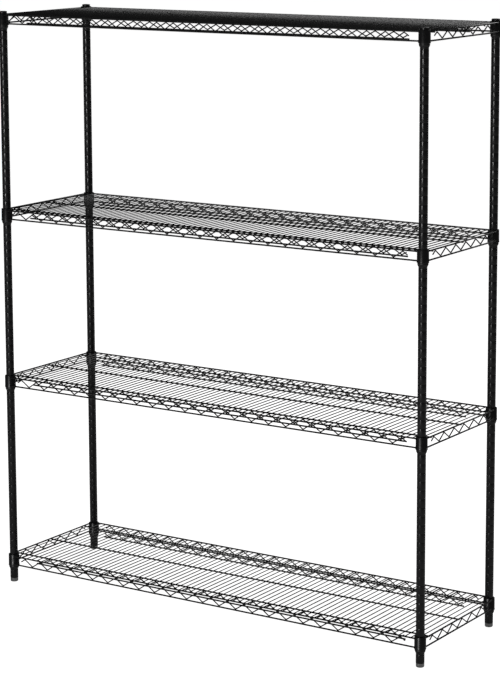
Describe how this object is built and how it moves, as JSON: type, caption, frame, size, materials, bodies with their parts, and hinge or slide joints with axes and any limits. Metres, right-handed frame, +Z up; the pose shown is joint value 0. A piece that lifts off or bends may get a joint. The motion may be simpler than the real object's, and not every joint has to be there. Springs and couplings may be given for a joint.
{
  "type": "wire shelving rack",
  "caption": "Free-standing black wire shelving rack: grooved round posts with levelling feet, split sleeves, and shelves of welded wire with trussed edges.",
  "frame": {"origin": "on the floor, under the middle of the rack", "axes": "+Z up along the posts, +X along the length of the shelves, +Y from the long front side to the back"},
  "size_m": [1.524, 0.457, 1.8249],
  "materials": {
    "black_epoxy": "glossy black epoxy powder coat on steel wire and tube",
    "black_plastic": "satin moulded black plastic",
    "zinc_plate": "bright zinc plate, slightly dulled"
  },
  "bodies": {
    "uprights": {"post_front_left": "black_epoxy", "cap_front_left": "black_plastic", "foot_insert_front_left": "zinc_plate", "sleeve_1_front_left_outer": "black_plastic", "sleeve_1_front_left_inner": "black_plastic", "sleeve_2_front_left_outer": "black_plastic", "sleeve_2_front_left_inner": "black_plastic", "sleeve_3_front_left_outer": "black_plastic", "sleeve_3_front_left_inner": "black_plastic", "sleeve_4_front_left_outer": "black_plastic", "sleeve_4_front_left_inner": "black_plastic", "post_front_right": "black_epoxy", "cap_front_right": "black_plastic", "foot_insert_front_right": "zinc_plate", "sleeve_1_front_right_outer": "black_plastic", "sleeve_1_front_right_inner": "black_plastic", "sleeve_2_front_right_outer": "black_plastic", "sleeve_2_front_right_inner": "black_plastic", "sleeve_3_front_right_outer": "black_plastic", "sleeve_3_front_right_inner": "black_plastic", "sleeve_4_front_right_outer": "black_plastic", "sleeve_4_front_right_inner": "black_plastic", "post_rear_left": "black_epoxy", "cap_rear_left": "black_plastic", "foot_insert_rear_left": "zinc_plate", "sleeve_1_rear_left_outer": "black_plastic", "sleeve_1_rear_left_inner": "black_plastic", "sleeve_2_rear_left_outer": "black_plastic", "sleeve_2_rear_left_inner": "black_plastic", "sleeve_3_rear_left_outer": "black_plastic", "sleeve_3_rear_left_inner": "black_plastic", "sleeve_4_rear_left_outer": "black_plastic", "sleeve_4_rear_left_inner": "black_plastic", "post_rear_right": "black_epoxy", "cap_rear_right": "black_plastic", "foot_insert_rear_right": "zinc_plate", "sleeve_1_rear_right_outer": "black_plastic", "sleeve_1_rear_right_inner": "black_plastic", "sleeve_2_rear_right_outer": "black_plastic", "sleeve_2_rear_right_inner": "black_plastic", "sleeve_3_rear_right_outer": "black_plastic", "sleeve_3_rear_right_inner": "black_plastic", "sleeve_4_rear_right_outer": "black_plastic", "sleeve_4_rear_right_inner": "black_plastic"},
    "shelf_1": {"shelf_1_frame": "black_epoxy", "shelf_1_deck": "black_epoxy"},
    "shelf_2": {"shelf_2_frame": "black_epoxy", "shelf_2_deck": "black_epoxy"},
    "shelf_3": {"shelf_3_frame": "black_epoxy", "shelf_3_deck": "black_epoxy"},
    "shelf_4": {"shelf_4_frame": "black_epoxy", "shelf_4_deck": "black_epoxy"},
    "foot_stud_front_left": {"foot_stud_front_left": "zinc_plate"},
    "foot_base_front_left": {"foot_base_front_left": "zinc_plate"},
    "foot_stud_front_right": {"foot_stud_front_right": "zinc_plate"},
    "foot_base_front_right": {"foot_base_front_right": "zinc_plate"},
    "foot_stud_rear_left": {"foot_stud_rear_left": "zinc_plate"},
    "foot_base_rear_left": {"foot_base_rear_left": "zinc_plate"},
    "foot_stud_rear_right": {"foot_stud_rear_right": "zinc_plate"},
    "foot_base_rear_right": {"foot_base_rear_right": "zinc_plate"}
  },
  "joints": [
    {"name": "shelf_1_lift", "type": "slide", "parent": "uprights", "child": "shelf_1", "axis": [0, 0, 1], "range_m": [0, 0.5355]},
    {"name": "shelf_2_lift", "type": "slide", "parent": "uprights", "child": "shelf_2", "axis": [0, 0, 1], "range_m": [0, 0.4847]},
    {"name": "shelf_3_lift", "type": "slide", "parent": "uprights", "child": "shelf_3", "axis": [0, 0, 1], "range_m": [0, 0.5609]},
    {"name": "shelf_4_lift", "type": "slide", "parent": "uprights", "child": "shelf_4", "axis": [0, 0, 1], "range_m": [0, 0.1]},
    {"name": "foot_front_left_reach", "type": "slide", "parent": "uprights", "child": "foot_stud_front_left", "axis": [0, 0, -1], "range_m": [0, 0.01905]},
    {"name": "foot_front_left_turn", "type": "hinge", "parent": "foot_stud_front_left", "child": "foot_base_front_left", "pos_m": [-0.7443, -0.2108, 0.0062], "axis": [0, 0, -1], "range_deg": [0, 4320]},
    {"name": "foot_front_right_reach", "type": "slide", "parent": "uprights", "child": "foot_stud_front_right", "axis": [0, 0, -1], "range_m": [0, 0.01905]},
    {"name": "foot_front_right_turn", "type": "hinge", "parent": "foot_stud_front_right", "child": "foot_base_front_right", "pos_m": [0.7443, -0.2108, 0.0062], "axis": [0, 0, -1], "range_deg": [0, 4320]},
    {"name": "foot_rear_left_reach", "type": "slide", "parent": "uprights", "child": "foot_stud_rear_left", "axis": [0, 0, -1], "range_m": [0, 0.01905]},
    {"name": "foot_rear_left_turn", "type": "hinge", "parent": "foot_stud_rear_left", "child": "foot_base_rear_left", "pos_m": [-0.7443, 0.2108, 0.0062], "axis": [0, 0, -1], "range_deg": [0, 4320]},
    {"name": "foot_rear_right_reach", "type": "slide", "parent": "uprights", "child": "foot_stud_rear_right", "axis": [0, 0, -1], "range_m": [0, 0.01905]},
    {"name": "foot_rear_right_turn", "type": "hinge", "parent": "foot_stud_rear_right", "child": "foot_base_rear_right", "pos_m": [0.7443, 0.2108, 0.0062], "axis": [0, 0, -1], "range_deg": [0, 4320]}
  ],
  "couplings": [
    {"joint": "foot_front_left_turn", "follows": "foot_front_left_reach", "rad_per_m": 3957.9},
    {"joint": "foot_front_right_turn", "follows": "foot_front_right_reach", "rad_per_m": 3957.9},
    {"joint": "foot_rear_left_turn", "follows": "foot_rear_left_reach", "rad_per_m": 3957.9},
    {"joint": "foot_rear_right_turn", "follows": "foot_rear_right_reach", "rad_per_m": 3957.9}
  ]
}
